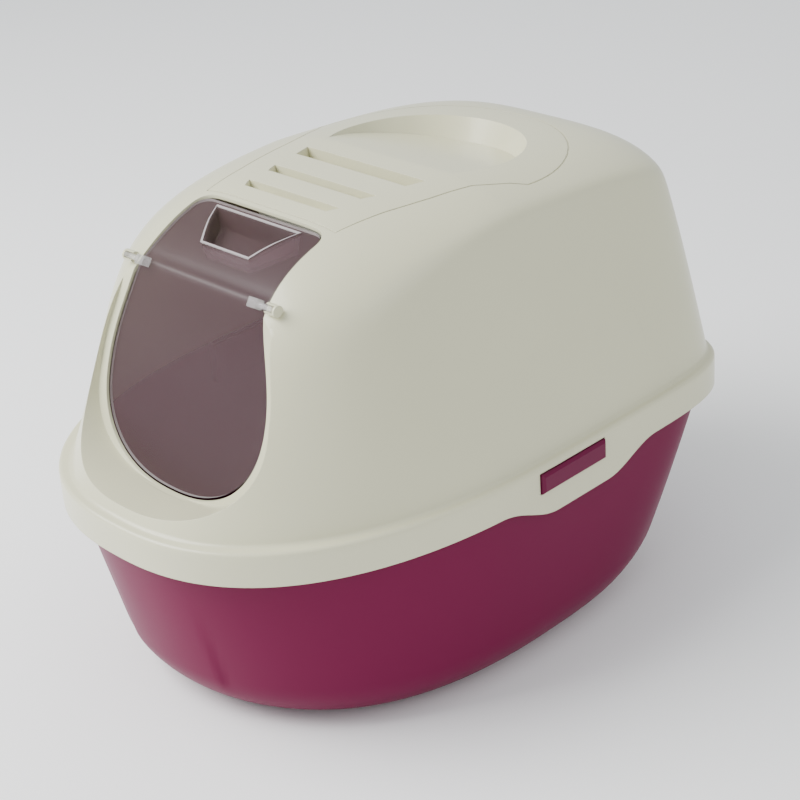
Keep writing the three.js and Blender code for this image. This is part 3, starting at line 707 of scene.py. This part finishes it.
def narrowed(outline, inset):
    """An outline moved inwards by the same amount all round."""
    places = [Vector(p) for p in outline]
    moved = []
    for before, here, after in zip([places[-1], *places], places, [*places[1:], places[0]]):
        along = (after - before).normalized()
        moved.append(tuple(here + Vector((-along.y, along.x)) * inset))
    return moved


def groove_cutter(groove, wall):
    rear, width, half, depth = groove

    def level(z, shorten, shift):
        front_half = half - GROOVE_TAPER - shorten + wall
        rear_half = half - shorten + wall
        front_y = rear - width + shift - wall
        return [(-front_half, front_y, z), (front_half, front_y, z), (rear_half, rear + wall, z),
                (-rear_half, rear + wall, z)]

    return stacked("groove", [level(HOOD_TOP - depth - wall, 3, width * 0.25), level(HOOD_TOP + 6, 0, 0)])


def skirt_trim():
    """Everything below the skirt's lower edge, which dips under each latch."""
    outline = [(-LENGTH, 0), (LENGTH, 0), (LENGTH, SKIRT_LOW_Z)]
    middle, level, run, drop = 46.0, 30.0, 62.0, 17.0
    for i in range(96, -1, -1):
        y = mix(middle - level - run, middle + level + run, i / 96)
        out = clamp((abs(y - middle) - level) / run, 0, 1)
        outline.append((y, SKIRT_LOW_Z - drop * (1 + math.cos(math.pi * out)) / 2))
    outline.append((-LENGTH, SKIRT_LOW_Z))
    return pushed_x("skirt_trim", outline, -WIDTH, WIDTH)


def tray_plan(z, inset=0.0):
    """The tray's plan at a height: from a rounder, shorter floor to the rim inside the skirt."""
    share = z / TRAY_TOP
    under = clamp(1 - z / TRAY_CORNER, 0, 1)
    off = TRAY_CORNER * (1 - math.sqrt(1 - under * under)) + inset
    reach = LENGTH / 2 - RIM_INSET - RIM_BEAD
    narrow = mix(1.2, 1, share)

    def panel(y):
        stretched = 28.7 + (y - 28.7) * narrow if y < 28.7 else y
        return skirt_reach(max(stretched, LEDGE_WIDTH - LENGTH / 2)) - RIM_INSET - RIM_BEAD - 5 * (1 - share) - off

    return (
        mix(190.6, 209.5, share) - off,
        mix(-224.3, -reach, share) + off,
        mix(219.4, reach, share) - off,
        25.4,
        (mix(2, 2.31, share), mix(2.61, 1.84, share)),
        (mix(3.33, 5.1, share), mix(1.92, 4.1, share)),
        0,
        panel,
    )


def tray_surface(wall):
    heights = [TRAY_CORNER * (1 - math.cos(math.pi / 2 * i / 16)) for i in range(17)]
    heights += [mix(TRAY_CORNER, TRAY_TOP - RIM_BEAD_HEIGHT, i / 12) for i in range(1, 13)]
    stops = [(z, wall) for z in heights]
    if wall:
        stops.append((TRAY_TOP + 5, wall))
    else:
        stops += [(TRAY_TOP - RIM_BEAD_HEIGHT + 0.3 + 1.2 * (1 - math.cos(a)), -RIM_BEAD * math.sin(a))
                  for a in (0.4, 0.8, 1.2, math.pi / 2)]
        stops += [(TRAY_TOP - 1 + math.sin(a), -RIM_BEAD + 1 - math.cos(a)) for a in (0, 0.5, 1.0, math.pi / 2)]

    def at(turn, rise):
        z, inset = stops[round(rise * (len(stops) - 1))]
        x, y = plan_point(tray_plan(z, inset), turn)
        lift = TRAY_FLOOR * clamp(1 - z / TRAY_CORNER, 0, 1) if wall else 0
        return x, y, z + lift

    return at, len(stops) - 1


# ---------- operators ----------
class LITTERBOX_OT_hood(bpy.types.Operator):
    """Mould the hood: a dished front, a slotted and recessed roof and a dipped skirt"""

    bl_idname = "litterbox.hood"
    bl_label = "Hood"

    def execute(self, context):
        props = context.scene.litterbox_hood
        wall = props.wall / MM
        outer_skin, outer_rings = hood_surface(0.0)
        inner_skin, inner_rings = hood_surface(wall)
        hood = wrapped("hood_shell", outer_skin, 240, outer_rings)
        inside = wrapped("hood_inside", inner_skin, 144, inner_rings)
        for body, thickness in ((hood, 0.0), (inside, wall)):
            combine(body, flare_cutter(thickness), "DIFFERENCE")
            combine(body, recess_cutter(thickness), "DIFFERENCE")
            for groove in GROOVES:
                combine(body, groove_cutter(groove, thickness), "DIFFERENCE")
        combine(hood, panel_line_cutter(), "DIFFERENCE")
        combine(hood, inside, "DIFFERENCE")
        combine(hood, skirt_trim(), "DIFFERENCE")
        combine(hood, opening_cutter(0.0), "DIFFERENCE")
        for rear, width, half, depth in GROOVES:
            vent = block("vent", (half, VENT_WIDTH, 4 * wall), (0, rear - width * 0.35, HOOD_TOP - depth))
            combine(hood, vent, "DIFFERENCE")
        saddle_y = PIN_Y - PIN_NORMAL.x * SADDLE_SUNK
        saddle_z = PIN_Z - PIN_NORMAL.y * SADDLE_SUNK
        for side in (-1, 1):
            start = DOOR_WAIST + 6 if side > 0 else -PIN_TIP - 3
            saddle = rod_x("saddle", SADDLE_RADIUS, start, start + PIN_TIP + 3 - DOOR_WAIST - 6, saddle_y, saddle_z)
            combine(hood, saddle, "UNION")
            window = block("window", (40, LATCH_LENGTH + 2 * LATCH_GAP, LATCH_HEIGHT + 2 * LATCH_GAP),
                           (side * WIDTH / 2, LATCH_Y, LATCH_Z))
            combine(hood, window, "DIFFERENCE")
        combine(hood, rod_x("bore", PIN_BORE, -PIN_TIP - 1, PIN_TIP + 1, PIN_Y, PIN_Z), "DIFFERENCE")
        smooth(hood)
        finish_piece(hood, "hood", "hood", moulded("hood_cream", props.colour, 0.30, 0.25, coat=0.2))
        return {"FINISHED"}


class LITTERBOX_OT_tray(bpy.types.Operator):
    """Mould the tray: rounded under its floor, flaring to a beaded rim"""

    bl_idname = "litterbox.tray"
    bl_label = "Tray"

    def execute(self, context):
        props = context.scene.litterbox_tray
        outer_skin, outer_rings = tray_surface(0.0)
        inner_skin, inner_rings = tray_surface(TRAY_WALL)
        tray = wrapped("tray_shell", outer_skin, 240, outer_rings)
        full = tray.copy()
        full.data = tray.data.copy()
        context.scene.collection.objects.link(full)
        combine(tray, wrapped("tray_inside", inner_skin, 200, inner_rings), "DIFFERENCE")
        for side in (-1, 1):
            for thickness, operation in ((TRAY_WALL, "UNION"), (0.0, "DIFFERENCE")):
                low = SKIRT_BOTTOM + 7 - thickness
                size = (2 * (12 + thickness), LATCH_LENGTH + 14 + 2 * thickness, 2 * (TRAY_TOP - low))
                pocket = block("pocket", size, (side * (skirt_reach(LATCH_Y) - 2.6), LATCH_Y, TRAY_TOP))
                if thickness:
                    spare = full.copy()
                    spare.data = full.data.copy()
                    context.scene.collection.objects.link(spare)
                    combine(pocket, spare, "INTERSECT")
                combine(tray, pocket, operation)
        bpy.data.objects.remove(full)
        smooth(tray)
        finish_piece(tray, "base_tray", "tray", moulded("tray_magenta", props.colour, 0.42, 0.3, shine=0.12))
        return {"FINISHED"}


class LITTERBOX_OT_door(bpy.types.Operator):
    """Finish the swing door and its two pins in see-through plastic"""

    bl_idname = "litterbox.door"
    bl_label = "Door"

    def execute(self, context):
        props = context.scene.litterbox_door
        smoky = see_through("door_smoke", props.tint, props.haze, 0.26)
        # Painted highlight: a paler, less clear material for the door's cut edges and pocket bead, standing for the
        # light they catch.
        edge = see_through("door_edge_highlight", props.edge, 0.75, 0.2)
        door = door_shell()
        combine(door, finger_pocket(POCKET_WALL), "DIFFERENCE")
        combine(door, opening_cutter(-DOOR_GAP), "INTERSECT")
        combine(door, door_bead(), "UNION")
        door.data.materials.clear()
        door.data.materials.append(smoky)
        door.data.materials.append(edge)
        # Faces across the sheet's cut edges and on the pocket's bead get the painted-highlight material.
        for face in door.data.polygons:
            cut = min(abs(face.normal.y), abs(face.normal.z)) < 0.02
            face.material_index = 1 if cut or on_bead(face.center / MM) else 0
        door.name = "door_sheet"
        smooth(door)
        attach(door, "door")
        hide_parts("door_flap")
        milky = see_through("pin_milk", (0.62, 0.60, 0.59), 0.3, 0.12)
        finish_node("hinge_pin_right", milky)
        finish_node("hinge_pin_left", milky)
        return {"FINISHED"}


class LITTERBOX_OT_small_parts(bpy.types.Operator):
    """Finish the latches and the filter"""

    bl_idname = "litterbox.small_parts"
    bl_label = "Latches and filter"

    def execute(self, context):
        magenta = moulded("latch_magenta", context.scene.litterbox_tray.latch_colour, 0.3, 0.2, 0.0006, 0.0, 0.15)
        finish_node("latch_right", magenta)
        finish_node("latch_left", magenta)
        finish_node("filter_cassette", moulded("cassette_cream", (0.6, 0.59, 0.5), 0.45, 0.3, 0.0005))
        finish_node("filter_pad", fibre_mat("charcoal_mat"))
        return {"FINISHED"}


def finish_node(name, material):
    """Give a node's object a better finish."""
    node = frame["nodes"][name]
    node.data.materials.clear()
    node.data.materials.append(material)


class LITTERBOX_OT_stage(bpy.types.Operator):
    """Set a pale floor, soft lights and the camera"""

    bl_idname = "litterbox.stage"
    bl_label = "Stage"

    def execute(self, context):
        props = context.scene.litterbox_stage
        scene = context.scene
        bm = bmesh.new()
        bmesh.ops.create_grid(bm, x_segments=1, y_segments=1, size=6.0)
        floor = solid_of("floor", bm)
        if floor.data.polygons[0].normal.z < 0:
            floor.data.flip_normals()
        board = Board("floor_white")
        board.set(Base_Color=board.blend(board.noise(2.0), (0.95, 0.95, 0.95), (0.97, 0.97, 0.97)))
        board.set(Roughness=0.9)
        floor.data.materials.append(board.material)
        world = bpy.data.worlds.new("studio")
        world.use_nodes = True
        backdrop = world.node_tree.nodes["Background"]
        backdrop.inputs["Color"].default_value = (0.94, 0.975, 1.0, 1)
        backdrop.inputs["Strength"].default_value = 0.95
        scene.world = world
        centre = Vector((0, 0, 0.2))
        back = direction(props.azimuth, props.elevation)
        camera = bpy.data.objects.new("camera", bpy.data.cameras.new("camera"))
        right = Vector((math.cos(props.azimuth), math.sin(props.azimuth), 0))
        up = back.cross(right)
        turned_right = right * math.cos(props.roll) + up * math.sin(props.roll)
        turned_up = up * math.cos(props.roll) - right * math.sin(props.roll)
        camera.matrix_world = Matrix.Translation(centre + back * props.distance) @ Matrix(
            (turned_right, turned_up, back)
        ).transposed().to_4x4()
        camera.data.lens = 85.59
        camera.data.shift_x = 0.0448
        camera.data.shift_y = -0.0211
        scene.collection.objects.link(camera)
        scene.camera = camera
        soft_light("key", props.key_power, 1.6, direction(math.radians(-38), math.radians(44)) * 2.2 + centre, centre)
        soft_light("side", props.key_power * 0.06, 1.4, direction(math.radians(100), math.radians(35)) * 2.2 + centre, centre)
        return {"FINISHED"}


def direction(azimuth, elevation):
    """From the box towards a viewer at these angles."""
    flat = math.cos(elevation)
    return Vector((math.sin(azimuth) * flat, -math.cos(azimuth) * flat, math.sin(elevation)))


def soft_light(name, power, size, place, target):
    lamp = bpy.data.lights.new(name, "AREA")
    lamp.energy = power
    lamp.size = size
    made = bpy.data.objects.new(name, lamp)
    made.matrix_world = Matrix.Translation(place) @ (place - target).to_track_quat("Z", "Y").to_matrix().to_4x4()
    bpy.context.scene.collection.objects.link(made)


class LITTERBOX_PT_panel(bpy.types.Panel):
    """Lists the pieces and their settings"""

    bl_label = "Litter Box"
    bl_idname = "LITTERBOX_PT_panel"
    bl_space_type = "VIEW_3D"
    bl_region_type = "UI"
    bl_category = "Litter Box"

    def draw(self, context):
        layout = self.layout
        for attribute in GROUPS:
            group = getattr(context.scene, attribute)
            for name in group.__annotations__:
                layout.prop(group, name)
        for operator in OPERATORS:
            layout.operator(operator.bl_idname)


GROUPS = {
    "litterbox_hood": HoodProps,
    "litterbox_tray": TrayProps,
    "litterbox_door": DoorProps,
    "litterbox_stage": StageProps,
}
OPERATORS = (
    LITTERBOX_OT_stage,
    LITTERBOX_OT_hood,
    LITTERBOX_OT_tray,
    LITTERBOX_OT_door,
    LITTERBOX_OT_small_parts,
)
CLASSES = (*GROUPS.values(), *OPERATORS, LITTERBOX_PT_panel)


def register():
    for item in CLASSES:
        bpy.utils.register_class(item)
    for attribute, group in GROUPS.items():
        setattr(bpy.types.Scene, attribute, bpy.props.PointerProperty(type=group))


def unregister():
    for attribute in GROUPS:
        delattr(bpy.types.Scene, attribute)
    for item in reversed(CLASSES):
        bpy.utils.unregister_class(item)


def main():
    register()
    for operator in OPERATORS:
        area, name = operator.bl_idname.split(".")
        getattr(getattr(bpy.ops, area), name)()


if __name__ == "__main__":
    main()
